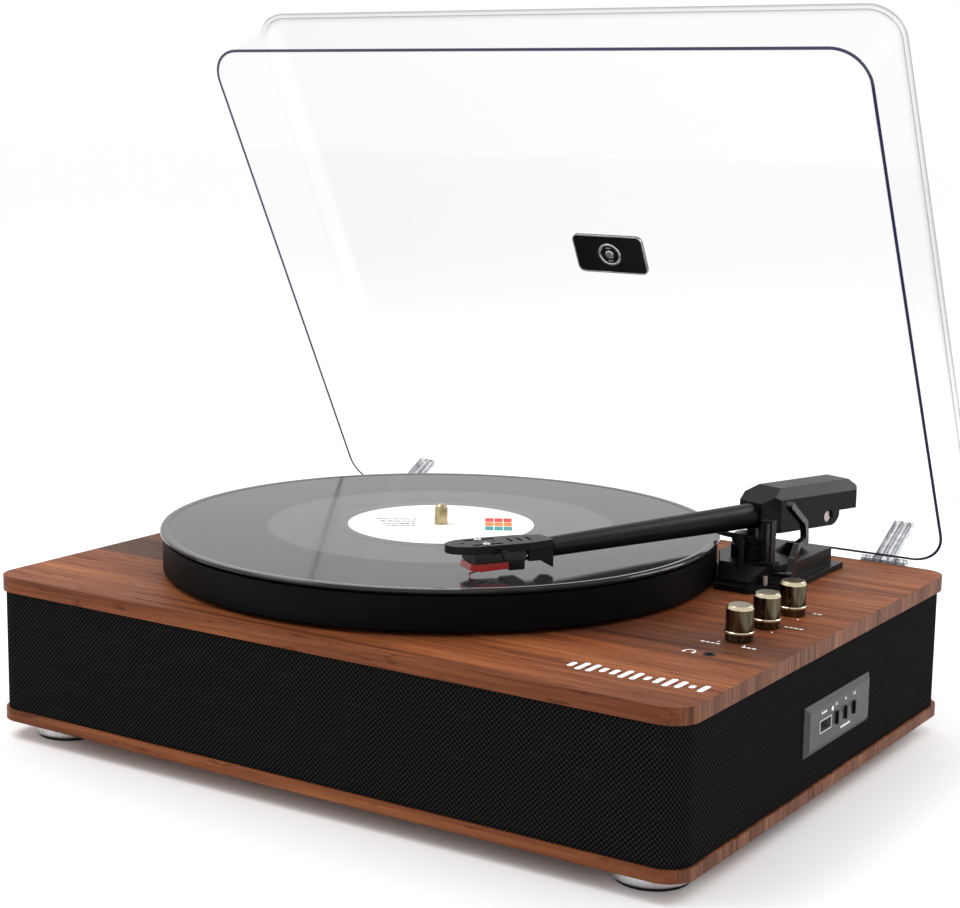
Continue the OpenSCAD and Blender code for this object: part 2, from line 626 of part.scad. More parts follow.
// Headshell frame: origin at the joint, -y towards the tip
module in_shell() in_arm() translate([0, -tube_len, 0]) rotate([0, 0, -shell_yaw]) children();
module headshell() color(dark) difference() {
  in_shell() {
    difference() {
      union() {
        at(0, 0, hs_top - hs_t) linear_extrude(hs_t) for (s = [0, 1]) mirror([s, 0]) polygon([[0, 0],
          [6, 0], [9.5, -14], [9.5, 13 - shell_len], [8.6, 8 - shell_len], [6.4, 3.6 - shell_len],
          [3.4, 0.8 - shell_len], [0, -shell_len]]);
        bar(-6, 6, -13, 0, az - 5, hs_top - 1);
        at(-6, 0, 0) rotate([90, 0, 90]) linear_extrude(12) polygon([[0, az - 9], [0, az - 4],
          [-7, az - 4]]);
        at(9, 14 - stylus_s, 0) rotate([90, 0, 0]) linear_extrude(3) polygon([[0, hs_top - 3.4],
          [3, hs_top - 3.6], [6, hs_top - 6.4], [7.2, hs_top - 5.8], [3.8, hs_top - 2.2], [0, hs_top - 1.8]]);
      }
      for (s = [-1, 1]) at(s * 5.5, 7 - stylus_s, 0) linear_extrude(hs_top + 5) rr(2.2, 16, 1);
      for (y = [-21, -16, -11]) at(0, y, hs_top - 0.8) linear_extrude(5) rr(7, 1.6, 0.7);
      for (y = [-4, 12]) post(0, y - stylus_s, zt, 80, 0.9);
    }
  }
  in_arm() rod_y(0, -tube_len - spigot_l, -tube_len + 10, az, spigot_r);
  in_arm() bar(-20, 20, -tube_len, -tube_len + 20, zt, zt + 60);
}
cart_z = hs_top - hs_t;
module cartridge() color(dark) in_shell() at(0, -stylus_s, 0) {
  bar(-8, 8, -0.8, 26.2, cart_z - 5.2, cart_z);
  bar(-6.5, 6.5, 18.2, 26.2, cart_z - 9.8, cart_z - 5.1);
}
module stylus() color(red) in_shell() at(0, -stylus_s, 0) {
  at(-6, 0, 0) rotate([90, 0, 90]) linear_extrude(12) polygon([[-1.8, cart_z - 5.3], [18.1, cart_z - 5.3],
    [18.1, cart_z - 9], [3.2, cart_z - 9.6], [-2.8, cart_z - 8.2]]);
  link(0, [9.2, cart_z - 9.2], [0, tip_z + 1], 0.4);
  post(0, 0, tip_z, 1.2, 0.4);
}
module cartridge_leads() color(metal) in_shell() for (x = [-4.5, -1.5, 1.5, 4.5])
  link(x, [26.3 - stylus_s, cart_z - 5], [-13.1, az - 2], 0.4);

// Cue lever and the platform that lifts the arm
lever_path = [[0, 0], [2.5, 8], [7, 14.8], [16.4, 16], [16, 20.5], [14.4, 26],
  [0.6, 35], [-3, 37.4]];
module cue_lever() color(dark) {
  rod_x(block_x - 8.9, lever_x, lever_y, lever_z, pin_r);
  at(lever_x - lever_r, lever_y, lever_z) rotate([90, 0, 90]) linear_extrude(2 * lever_r) {
    for (i = [0 : len(lever_path) - 2]) translate(lever_path[i])
      rotate(atan2(lever_path[i + 1][1] - lever_path[i][1], lever_path[i + 1][0] - lever_path[i][0]))
        translate([0, -lever_r]) square([norm(lever_path[i + 1] - lever_path[i]), 2 * lever_r]);
    for (i = [1 : len(lever_path) - 2]) translate(lever_path[i]) circle(lever_r + 0.05);
    circle(pin_r + 1);
    translate(lever_path[len(lever_path) - 1]) circle(2);
  }
}
module lift_platform() color(dark) {
  at(pv_x, pv_y, lift_top - lift_t) rotate([0, 0, -137]) rotate_extrude(angle = 58)
    translate([lift_ri, 0]) square([lift_ro - lift_ri, lift_t]);
  post(lift_px, lift_py, zt + 1, lift_top - 1 - zt - 1, lift_post_r);
}

// Dust cover, drawn closed and turned open about its hinge
module opened() translate([0, hinge_y, hinge_z]) rotate([-open_deg, 0, 0])
  translate([0, -hinge_y, -hinge_z]) children();
rim_z = zt + rim_gap;
cover_cy = board_d / 2 + 1.5 - cover_d / 2;
module wall_profile() difference() {
  union() {
    square([cover_cr, cover_h - cover_e]);
    square([cover_cr - cover_e, cover_h]);
    translate([cover_cr - cover_e, cover_h - cover_e]) circle(cover_e);
  }
  translate([-1, -1]) square([cover_cr - cover_t + 1, cover_h - cover_e + 1]);
  translate([-1, -1]) square([cover_cr - cover_e + 1, cover_h - cover_t + 1]);
  translate([cover_cr - cover_e, cover_h - cover_e]) circle(cover_e - cover_t);
}
module half_profile() intersection() {
  wall_profile();
  square([cover_cr, cover_h]);
}
module dust_cover() color(clear) opened() at(0, cover_cy, rim_z) {
  sx = cover_w / 2 - cover_cr;
  sy = cover_d / 2 - cover_cr;
  for (a = [[0, 1, 1], [90, -1, 1], [180, -1, -1], [270, 1, -1]])
    translate([a[1] * sx, a[2] * sy, 0]) rotate([0, 0, a[0]]) rotate_extrude(angle = 90) half_profile();
  for (s = [0, 180]) rotate([0, 0, s]) translate([sx, sy, 0]) rotate([90, 0, 0])
    linear_extrude(2 * sy) half_profile();
  for (s = [90, 270]) rotate([0, 0, s]) translate([sy, sx, 0]) rotate([90, 0, 0])
    linear_extrude(2 * sx) half_profile();
  at(0, 0, cover_h - cover_t) linear_extrude(cover_t) square([2 * sx, 2 * sy], center = true);
}
module cover_badge() color(metal) opened() at(0, cover_cy, rim_z + cover_h - cover_t - 1) difference() {
  linear_extrude(1) rr(46, 25, 4);
  at(0, 0, -1) linear_extrude(1.4) for (i = [-2 : 2]) translate([i * 4, 0]) rr(1.6, 13 - 4 * abs(i), 0.7);
}
cover_back = cover_cy + cover_d / 2;
module hinge_bases() color(clear) for (s = [-1, 1]) at(s * hinge_x, 0, 0) difference() {
  union() {
    bar(-hinge_w / 2, hinge_w / 2, cab_y, cab_y + 3, zb - 30, zt - 9);
    for (k = [-1, 1]) at(k * (hinge_w / 2 - 3.5) - 3.5, 0, 0) {
      rod_x(0, 7, hinge_y, hinge_z, hinge_r);
      rotate([90, 0, 90]) linear_extrude(7) polygon([[cab_y, zb - 14], [cab_y + 3, zb - 14],
        [hinge_y + hinge_r, hinge_z], [hinge_y - hinge_r + 0.2, hinge_z], [board_d / 2 + 0.2, hinge_z - 3],
        [board_d / 2 + 0.2, zb - 0.3], [cab_y, zb - 0.3]]);
    }
  }
  rod_x(-hinge_w, hinge_w, hinge_y, hinge_z, hinge_pin_r);
}
arm_w = hinge_w - 14 - 0.8;
module hinge_arms() color(clear) opened() for (s = [-1, 1]) at(s * hinge_x, 0, 0) difference() {
  union() {
    rod_x(-arm_w / 2, arm_w / 2, hinge_y, hinge_z, hinge_r);
    bar(-arm_w / 2, arm_w / 2, cover_back, hinge_y + hinge_r, hinge_z, rim_z + 6);
    bar(-arm_w / 2, arm_w / 2, cover_back, cover_back + 3, rim_z + 5, rim_z + 32);
  }
  rod_x(-hinge_w, hinge_w, hinge_y, hinge_z, hinge_pin_r + run);
}
module hinge_pins() color(metal) for (s = [-1, 1])
  rod_x(s * hinge_x - hinge_w / 2, s * hinge_x + hinge_w / 2, hinge_y, hinge_z, hinge_pin_r);

top_board();
base_board();
cabinet_shell();
speaker_cloth();
front_inlay();
control_marks();
feet();
foot_pads();
rear_panel();
rear_sockets();
headphone_jack();
control_panel();
usb_socket();
play_button();
next_button();
previous_button();
status_light();
circuit_boards();
left_speaker_frame();
left_speaker_cone();
right_speaker_frame();
right_speaker_cone();
motor_can();
motor_shaft();
motor_pulley();
drive_belt();
bearing_housing();
thrust_ball();
platter();
slip_mat();
spindle();
record();
record_label();
control_bodies();
volume_knob();
source_knob();
power_knob();
volume_shaft();
source_shaft();
power_shaft();
arm_base();
arm_turret();
arm_pivot_pin();
arm_tube();
arm_housing();
headshell();
cartridge();
stylus();
cartridge_leads();
counterweight();
cue_lever();
lift_platform();
arm_rest();
speed_slider();
dust_cover();
cover_badge();
hinge_bases();
hinge_arms();
hinge_pins();
cabinet_screws();
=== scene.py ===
# %% [markdown]
# # A record player, finished in Blender
# The solid model already holds every part of the player at its true size and place. This lesson
# dresses it: it gives each part the surface of the real material, and adds the small shapes that
# are easier to make as meshes. Nothing of the solid model is moved or reshaped, because its
# joints have to keep working.

# %% Load the solid model
import bpy, bmesh, math
from mathutils import Matrix, Vector


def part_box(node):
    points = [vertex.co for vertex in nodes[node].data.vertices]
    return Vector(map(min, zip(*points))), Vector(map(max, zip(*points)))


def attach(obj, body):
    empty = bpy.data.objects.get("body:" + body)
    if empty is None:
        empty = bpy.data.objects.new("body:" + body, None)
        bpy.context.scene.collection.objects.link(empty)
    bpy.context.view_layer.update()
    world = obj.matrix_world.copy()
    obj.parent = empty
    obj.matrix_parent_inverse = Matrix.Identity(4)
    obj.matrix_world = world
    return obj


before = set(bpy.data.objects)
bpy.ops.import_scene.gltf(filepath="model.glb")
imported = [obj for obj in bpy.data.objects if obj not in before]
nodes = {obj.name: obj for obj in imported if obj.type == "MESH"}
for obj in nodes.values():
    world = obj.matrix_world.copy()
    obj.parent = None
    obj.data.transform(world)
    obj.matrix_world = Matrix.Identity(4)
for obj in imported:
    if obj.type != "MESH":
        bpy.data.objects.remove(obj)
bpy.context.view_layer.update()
MM = 0.001

# %% [markdown]
# ## Shader maths that reads like maths
# A surface pattern is a formula: grain is stretched noise, a record groove is a sine of the radius.
# Blender wires such formulas from many small Math nodes. A small class that wraps one socket and
# overloads the operators lets the formula be written as an ordinary expression instead.

# %% A socket that takes part in expressions
class Value:
    """One output of a node. Arithmetic on it adds Math nodes to its finish."""

    def __init__(self, finish, socket):
        self.finish, self.socket = finish, socket

    def maths(self, operation, *others, swap=False, clamp=False):
        terms = [self, *others][::-1] if swap else [self, *others]
        return self.finish.node("ShaderNodeMath", {"operation": operation, "use_clamp": clamp},
                                dict(enumerate(terms)))

    def __add__(self, other): return self.maths("ADD", other)
    def __radd__(self, other): return self.maths("ADD", other)
    def __sub__(self, other): return self.maths("SUBTRACT", other)
    def __rsub__(self, other): return self.maths("SUBTRACT", other, swap=True)
    def __mul__(self, other): return self.maths("MULTIPLY", other)
    def __rmul__(self, other): return self.maths("MULTIPLY", other)
    def __truediv__(self, other): return self.maths("DIVIDE", other)
    def __pow__(self, other): return self.maths("POWER", other)
    def __gt__(self, other): return self.maths("GREATER_THAN", other)
    def __lt__(self, other): return self.maths("LESS_THAN", other)
    def __abs__(self): return self.maths("ABSOLUTE")
    def sin(self): return self.maths("SINE")
    def clamp(self): return self.maths("ADD", 0.0, clamp=True)

    def step(self, low, high):
        """0 below low, 1 above high, smooth between."""
        return self.finish.node("ShaderNodeMapRange", {"interpolation_type": "SMOOTHSTEP"},
                                {"Value": self, "From Min": low, "From Max": high})

# %% [markdown]
# ## One finish, one object
# A finish is a material whose Principled shader is fed by such expressions. Its `node` method can
# add any node: settings first, then the sockets, which may be plain numbers or other values.

# %% The finish class
class Finish:
    """A material with a Principled shader, built from expressions on Value objects."""

    def __init__(self, name, colour, rough, metal=0.0, **fixed):
        self.material = bpy.data.materials.new(name)
        self.material.use_nodes = True
        self.tree = self.material.node_tree
        self.shader = self.tree.nodes["Principled BSDF"]
        self.set("Base Color", colour)
        self.set("Roughness", rough)
        self.set("Metallic", metal)
        for socket, value in fixed.items():
            self.set(socket.replace("_", " "), value)

    def feed(self, socket, value):
        if isinstance(value, Value):
            self.tree.links.new(value.socket, socket)
        elif socket.type == "RGBA" and len(value) == 3:
            socket.default_value = (*value, 1.0)
        else:
            socket.default_value = value

    def set(self, socket, value):
        self.feed(self.shader.inputs[socket], value)
        return self

    def node(self, kind, settings=None, sockets=None, out=0):
        made = self.tree.nodes.new(kind)
        for key, value in (settings or {}).items():
            if key == "stops":
                ramp = made.color_ramp.elements
                while len(ramp) < len(value):
                    ramp.new(0.5)
                for stop, (place, colour) in zip(ramp, value):
                    stop.position, stop.color = place, (*colour, 1.0)
            else:
                setattr(made, key, value)
        for key, value in (sockets or {}).items():
            self.feed(made.inputs[key], value)
        return Value(self, made.outputs[out])

    def place(self, which="Object"):
        """The point of the surface in metres in the player's own frame, or its Normal."""
        return self.node("ShaderNodeTexCoord", out=which)

    def axes(self, vector):
        """The X, Y and Z numbers of a vector."""
        first = self.node("ShaderNodeSeparateXYZ", sockets={"Vector": vector})
        split = first.socket.node
        return [Value(self, split.outputs[i]) for i in range(3)]

    def stretch(self, vector, scale):
        return self.node("ShaderNodeVectorMath", {"operation": "MULTIPLY"}, {0: vector, 1: scale})

    def noise(self, vector, scale=1.0, detail=3.0, rough=0.55, twist=0.0, dims="3D"):
        sockets = {"Scale": scale, "Detail": detail, "Roughness": rough, "Distortion": twist}
        sockets["W" if dims == "1D" else "Vector"] = vector
        return self.node("ShaderNodeTexNoise", {"noise_dimensions": dims}, sockets)

    def ramp(self, value, *stops):
        return self.node("ShaderNodeValToRGB", {"stops": stops}, {"Fac": value})

    def mix(self, factor, first, second, how="MIX"):
        return self.node("ShaderNodeMix", {"data_type": "RGBA", "blend_type": how},
                         {0: factor, 6: first, 7: second}, out=2)

    def bump(self, height, depth, strength=1.0, edge=0.0):
        """Raises the surface by height times depth, and rounds its edges by edge, all in metres."""
        sockets = {"Height": height, "Distance": depth, "Strength": strength}
        if edge:
            sockets["Normal"] = self.node("ShaderNodeBevel", {"samples": 6}, {"Radius": edge})
        return self.set("Normal", self.node("ShaderNodeBump", sockets=sockets))

# %% [markdown]
# ## Giving finishes to parts
# A part from the solid model has material slots already. Putting a finish in them changes its look
# and leaves its shape alone.

# %% Dress one or more parts
def dress(finish, *names):
    for name in names:
        slots = nodes[name].data.materials
        slots.clear()
        slots.append(finish.material)
    print(f"{finish.material.name}: {', '.join(names)}")

# %% [markdown]
# ## Walnut veneer
# The two boards are chipboard faced with walnut foil. Its figure is long streaks along the width,
# a few darker bands and lines, and fine pores. Noises stretched along X by different amounts give
# these, and one broad dark band of heartwood crosses the top board. On the right and left edges
# the grain stands upright and is greyer, as the edge strip is cut across the sheet.

# %% The veneer
def walnut(name):
    wood = Finish(name, (0.2, 0.08, 0.03), 0.5, Specular_IOR_Level=0.13)
    point = wood.place()
    across, front, _ = wood.axes(wood.place("Normal"))
    side = abs(across).step(0.55, 0.85)
    strip = abs(front).step(0.55, 0.85)

    def face(broad, narrow, fine):
        figure = wood.noise(wood.stretch(point, broad), 1.0, 5.0, 0.6, 1.2)
        streak = wood.noise(wood.stretch(point, narrow), 1.0, 4.0, 0.65, 0.6)
        fibre = wood.noise(wood.stretch(point, fine), 1.0, 2.0, 0.6)
        return figure * 0.42 + streak * 0.38 + fibre * 0.20, fibre

    flat, flat_fibre = face((2.4, 50.0, 50.0), (7.0, 260.0, 260.0), (30.0, 1700.0, 1700.0))
    upright, _ = face((40.0, 130.0, 3.0), (150.0, 520.0, 8.0), (500.0, 1500.0, 40.0))
    band = wood.noise(wood.stretch(point, (1.3, 13.0, 0.0)), 1.0, 3.0, 0.5, 0.6).step(0.54, 0.66)
    line = wood.noise(wood.stretch(point, (3.0, 150.0, 30.0)), 1.0, 3.0, 0.6, 0.5).step(0.57, 0.68)
    pore = wood.noise(wood.stretch(point, (60.0, 900.0, 300.0)), 1.0, 2.0, 0.5).step(0.6, 0.7)
    colour = wood.ramp(flat, (0.34, (0.055, 0.014, 0.006)), (0.44, (0.140, 0.037, 0.012)),
                       (0.52, (0.230, 0.068, 0.022)), (0.62, (0.35, 0.120, 0.042)),
                       (0.74, (0.46, 0.190, 0.076)))
    x, y, _ = wood.axes(point)
    wavy = y + wood.noise(wood.stretch(point, (9.0, 0.0, 0.0)), 1.0, 3.0) * 6 * MM
    heart = wavy.step(-78 * MM, -75 * MM) * (1 - wavy.step(-44 * MM, -20 * MM))
    heart = heart * (0.8 - x.step(-0.16, 0.06) * 0.5)
    colour = wood.mix(band * 0.55, colour, (0.055, 0.016, 0.009))
    colour = wood.mix(heart, colour, (0.045, 0.022, 0.014))
    colour = wood.mix(line * 0.6, colour, (0.035, 0.010, 0.006))
    colour = wood.mix(pore * 0.5, colour, (0.03, 0.009, 0.005))
    edge = wood.ramp(upright, (0.36, (0.045, 0.015, 0.008)), (0.48, (0.115, 0.042, 0.021)),
                     (0.56, (0.200, 0.082, 0.042)), (0.70, (0.32, 0.155, 0.090)))
    colour = wood.mix(strip * 0.3, colour, (0.085, 0.027, 0.010))
    wood.set("Base Color", wood.mix(side, colour, edge))
    wood.set("Roughness", 0.46 + pore * 0.2 + (1 - flat) * 0.12)
    return wood.bump(flat * 0.5 + flat_fibre * 0.3 - pore * 0.6 - line * 0.2, 0.00012, 0.5, 0.0006)

dress(walnut("walnut_veneer"), "top_board", "base_board")

# %% [markdown]
# ## Speaker cloth
# A loose black weave is stretched round the cabinet. Two crossed sine waves, one along the wall and
# one up it, give the threads. The distance along the wall is X plus Y, which keeps its spacing
# round the front, the sides and the rounded corners alike.

# %% The cloth
def woven(name, dark, light, pitch):
    cloth = Finish(name, dark, 0.97, Specular_IOR_Level=0.02)
    point = cloth.place()
    x, y, z = cloth.axes(point)
    turn = 2 * math.pi / pitch
    weft = ((x + y) * turn).sin()
    warp = (z * turn).sin()
    thread = (weft * warp * 0.5 + 0.5) ** 2
    fuzz = cloth.noise(point, 900.0, 2.0)
    slub = cloth.noise(cloth.stretch(point, (60.0, 60.0, 700.0)), 1.0, 2.0).step(0.5, 0.75)
    cloth.set("Base Color", cloth.mix((thread * (0.5 + fuzz) + slub * 0.1).clamp(), dark, light))
    return cloth.bump(thread + fuzz * 0.4, 0.00035, 0.9)

THREAD_PITCH = 2.6 * MM
cloth_finish = woven("speaker_cloth", (0.0009, 0.0009, 0.0010), (0.025, 0.0232, 0.0228),
                     THREAD_PITCH)
dress(cloth_finish, "speaker_cloth")

# %% [markdown]
# ## Moulded black plastics and painted metal
# Most of the dark parts are one of three: satin moulded plastic with a fine spark texture, glossy
# plastic, and the platter's satin paint. All three are a near-black with noise at the scale of the
# texture, so highlights break up as they do on the real thing.

# %% Dark finishes
def moulded(name, colour, rough, grain, depth, vary=0.08, **fixed):
    skin = Finish(name, colour, rough, **fixed)
    point = skin.place()
    fine = skin.noise(point, grain, 2.0)
    cloudy = skin.noise(point, 60.0, 3.0)
    lifted = tuple(c * 1.8 + 0.001 for c in colour)
    skin.set("Base Color", skin.mix(cloudy * 0.5 + fine * 0.2, colour, lifted))
    skin.set("Roughness", rough + (cloudy - 0.5) * vary * 2 + (fine - 0.5) * vary)
    return skin.bump(fine, depth, 0.6, 0.0005)

satin = moulded("satin_black_plastic", (0.0025, 0.0025, 0.0027), 0.36, 2600.0, 0.00003,
                Specular_IOR_Level=0.14)
gloss = moulded("gloss_black_plastic", (0.002, 0.002, 0.0023), 0.14, 500.0, 0.000004, 0.03,
                Specular_IOR_Level=0.26)
platter_paint = moulded("platter_paint", (0.0015, 0.0015, 0.0016), 0.5, 3200.0, 0.00002, 0.05,
                        Specular_IOR_Level=0.05)
rubber = moulded("black_rubber", (0.006, 0.006, 0.006), 0.8, 1500.0, 0.00003,
                 Specular_IOR_Level=0.2)
panel_grey = moulded("panel_plastic", (0.015, 0.015, 0.016), 0.42, 2200.0, 0.00002)
dress(satin, "arm_base", "arm_turret", "arm_tube", "arm_housing", "headshell", "lift_platform",
      "arm_rest", "rear_panel", "cabinet_shell")
dress(panel_grey, "control_panel")
dress(gloss, "cartridge", "cue_lever", "headphone_jack", "play_button", "next_button",
      "previous_button", "cover_badge")
dress(platter_paint, "platter")
dress(rubber, "foot_pads", "drive_belt", "slip_mat", "left_speaker_cone", "right_speaker_cone")

# %% [markdown]
# ## The record
# Pressed vinyl is glossy black. Its fine groove scatters light, and the blank rings between the
# tracks and inside the last groove are smooth. These bands and the ring inside the last groove are
# also painted a lighter grey, as painted reflection of the white surround. Everything depends on
# the radius alone, so the radius is worked out once and drives a one-dimensional noise for the
# bands.

# %% Vinyl
centre = sum((Vector(c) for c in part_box("spindle")), Vector()) / 2

def radius(finish):
    x, y, _ = finish.axes(finish.place())
    return ((x - centre.x) ** 2 + (y - centre.y) ** 2) ** 0.5

vinyl = Finish("vinyl", (0.012, 0.012, 0.014), 0.1, Specular_IOR_Level=0.2)
r = radius(vinyl)
bands = vinyl.noise(r, 260.0, 3.0, 0.6, dims="1D")
inner = 1 - r.step(0.0925, 0.0945)
groove = (r * (2 * math.pi / 0.0011)).sin()
dust = vinyl.noise(vinyl.place(), 700.0, 3.0).step(0.66, 0.8)
# Painted reflection: the bands and the ring inside the last groove get a lighter grey colour for
# the white surround seen in the black vinyl.
vinyl.set("Base Color", vinyl.mix((bands * 0.35 + inner * 0.65).clamp(), (0.0055, 0.0055, 0.0065),
                                  (0.085, 0.086, 0.092)))
vinyl.set("Roughness", 0.06 + bands * 0.06 + dust * 0.1 + inner * 0.03)
vinyl.bump(groove * (1 - inner * 0.7) + bands * 3, 0.00001, 0.2)
dress(vinyl, "record")

# %% Paper label
def printed_label():
    """White paper with rows of small type shown as dashes, and a block of three coloured bars."""
    paper = Finish("label_paper", (0.85, 0.84, 0.82), 0.6)
    fibre = paper.noise(paper.place(), 900.0, 4.0)
    x, y, _ = paper.axes(paper.place())
    turn = math.radians(33)
    across = (x - centre.x) * math.cos(turn) + (y - centre.y) * math.sin(turn)
    up = (y - centre.y) * math.cos(turn) - (x - centre.x) * math.sin(turn)

    def patch(left, right, low, high):
        inside = (abs(across - (left + right) / 2 * MM) < (right - left) / 2 * MM)
        return inside * (abs(up - (low + high) / 2 * MM) < (high - low) / 2 * MM)

    ink = paper.mix(fibre, (0.80, 0.79, 0.76), (0.90, 0.89, 0.87))
    words = paper.noise(paper.stretch(paper.place(), (900.0, 900.0, 0.0)), 1.0, 1.0).step(0.46, 0.5)
    for row in range(4):
        ink = paper.mix(patch(-36 + row * 2, -14, 9 - row * 6, 12 - row * 6) * words, ink,
                        (0.05, 0.05, 0.05))
    red, orange, teal = (0.62, 0.03, 0.02), (0.80, 0.20, 0.03), (0.02, 0.28, 0.27)
    for low, colour in ((6, red), (-5, orange), (-16, teal)):
        for left in (24, 29, 34):
            ink = paper.mix(patch(left, left + 4.5, low, low + 10), ink, colour)
    paper.set("Base Color", ink)
    return paper.bump(fibre, 0.00003, 0.4)

def print_white(name):
    ink = Finish(name, (0.86, 0.86, 0.85), 0.55)
    grain = ink.noise(ink.place(), 1500.0, 3.0)
    ink.set("Base Color", ink.mix(grain, (0.80, 0.80, 0.79), (0.92, 0.92, 0.91)))
    return ink.bump(grain, 0.00001, 0.3)

dress(printed_label(), "record_label")
dress(print_white("white_print"), "front_inlay", "control_marks", "status_light")

# %% [markdown]
# ## Metals
# The knobs and the spindle are antiqued brass with turning marks, and the knobs also carry painted
# reflection and painted highlights; the feet are brushed aluminium.
# Turning marks follow the height, so a one-dimensional noise of Z gives their colour and relief.

# %% Turned and plain metals
def turned(name, dark, light, rough, rings=2500.0):
    metal = Finish(name, light, rough, 1.0)
    _, _, z = metal.axes(metal.place())
    lines = metal.noise(z, rings, 2.0, dims="1D")
    stain = metal.noise(metal.place(), 220.0, 4.0).step(0.35, 0.75)
    metal.set("Base Color", metal.mix(stain * 0.7 + lines * 0.3, light, dark))
    metal.set("Roughness", rough + (lines - 0.5) * 0.12 + stain * 0.1)
    return metal.bump(lines, 0.00003, 0.35, 0.0003)

def knob_brass(name):
    """Polished bronze with stains; the sides painted near-black as painted reflection, the thin
    ring low down and the top bevel painted pale as painted highlight, and a spun top.
    """
    metal = Finish(name, (0.2, 0.16, 0.1), 0.16, 1.0)
    _, _, z = metal.axes(metal.place())
    low, high = (c[2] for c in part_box("volume_knob"))
    lip_highlight = abs(z - (low + 4.0 * MM)) < 0.7 * MM
    crown = z > high - 0.2 * MM
    chamfer_highlight = (z > high - 2.0 * MM) * (1 - crown)
    stain = metal.noise(metal.stretch(metal.place(), (500.0, 500.0, 40.0)), 1.0, 3.0).step(0.3, 0.8)
    spun = metal.noise(metal.stretch(metal.place(), (900.0, 900.0, 2600.0)), 1.0, 2.0)
    # Painted reflection: the sides are painted near-black brass with stains, and the thin ring low
    # down and the top bevel are painted pale brass as painted highlight.
    side = metal.mix(stain, (0.050, 0.042, 0.025), (0.16, 0.13, 0.08))
    colour = metal.mix((lip_highlight + chamfer_highlight).clamp(), side, (0.60, 0.52, 0.36))
    colour = metal.mix(crown, colour, (0.27, 0.225, 0.15))
    metal.set("Base Color", colour)
    metal.set("Roughness", 0.13 + stain * 0.06 + crown * 0.1)
    return metal.bump(spun, 0.00001, 0.25, 0.0004)

brass = turned("brass", (0.28, 0.22, 0.12), (0.55, 0.45, 0.27), 0.18)
dress(knob_brass("antique_brass_painted_reflection"), "volume_knob", "source_knob", "power_knob")
aluminium = turned("brushed_aluminium", (0.55, 0.55, 0.56), (0.80, 0.80, 0.81), 0.28)
steel = turned("plain_steel", (0.40, 0.40, 0.41), (0.62, 0.62, 0.63), 0.32)
weight_metal = turned("weight_metal", (0.36, 0.29, 0.28), (0.50, 0.42, 0.41), 0.25)
chrome = turned("chrome", (0.50, 0.48, 0.48), (0.74, 0.73, 0.73), 0.10)
dress(brass, "spindle", "motor_pulley")
dress(aluminium, "feet", "bearing_housing")
dress(steel, "motor_can", "motor_shaft", "thrust_ball", "control_bodies", "volume_shaft",
      "source_shaft", "power_shaft", "arm_pivot_pin", "hinge_pins", "cabinet_screws", "usb_socket",
      "speed_slider", "left_speaker_frame", "right_speaker_frame")
dress(weight_metal, "counterweight")
dress(chrome, "cartridge_leads", "rear_sockets")

# %% Stylus holder and circuit boards
ruby = moulded("red_plastic", (0.30, 0.006, 0.006), 0.2, 400.0, 0.000005, 0.04)
green = moulded("board_lacquer", (0.01, 0.10, 0.04), 0.35, 300.0, 0.00001)
dress(ruby, "stylus")
dress(green, "circuit_boards")

# %% [markdown]
# ## Clear acrylic
# The cover is clear sheet 2.5 mm thick. Seen straight on it is almost invisible; seen edge-on, at
# its bends, it gathers grey, and its cut rim shows as a dark line. An alpha that rises at grazing
# angles and on the rim says this with no refraction noise. Heights over the rim and distances in
# from the outer face are worked out in the closed cover's own directions, turned by OPEN.

# %% Acrylic and clear hinge plastic
OPEN = math.radians(62)
hinge_line = sum((Vector(c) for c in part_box("hinge_pins")), Vector()) / 2

COVER_DEPTH, COVER_CORNER, COVER_BEND = 310 * MM, 20 * MM, 46 * MM
HINGE_BACK = 158.5 * MM     # from the middle of the cover back to the hinge line
cover_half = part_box("dust_cover")[1][0]

def above_rim(finish):
    """Height over the hinge line, measured square to the cover's rim."""
    _, y, z = finish.axes(finish.place())
    return (y - hinge_line.y) * math.sin(OPEN) + (z - hinge_line.z) * math.cos(OPEN)

def from_outside(finish):
    """Distance in from the outer face of the cover's wall, measured along the rim's plane."""
    x, y, z = finish.axes(finish.place())
    depth = (y - hinge_line.y) * math.cos(OPEN) - (z - hinge_line.z) * math.sin(OPEN) + HINGE_BACK
    side = (abs(x) - (cover_half - COVER_CORNER)).maths("MAXIMUM", 0.0)
    end = (abs(depth) - (COVER_DEPTH / 2 - COVER_CORNER)).maths("MAXIMUM", 0.0)
    return COVER_CORNER - (side ** 2 + end ** 2) ** 0.5

def clear_sheet(name):
    """Clear walls a shade darker than the flat lid, a dark rim line and grey bends."""
    sheet = Finish(name, (0.4, 0.43, 0.48), 0.03, IOR=1.45)
    graze = sheet.node("ShaderNodeLayerWeight", sockets={"Blend": 0.5}, out="Facing")
    smear = sheet.noise(sheet.place(), 14.0, 4.0)
    height = above_rim(sheet)
    rim = (1 - height.step(1.8 * MM, 2.3 * MM)) * (1 - from_outside(sheet).step(1.4 * MM, 1.8 * MM))
    bend = height.step(COVER_BEND, COVER_BEND + 2 * MM)
    wall = 1 - bend
    sheet.set("Base Color", sheet.mix(rim, (0.16, 0.175, 0.20), (0.022, 0.027, 0.075)))
    edge_on = (graze ** 3) * (bend * 1.3 + 0.015)
    sheet.set("Alpha", (edge_on + wall * 0.018 + smear * 0.003 + rim).clamp())
    sheet.set("Roughness", 0.03 + smear * 0.04)
    return sheet

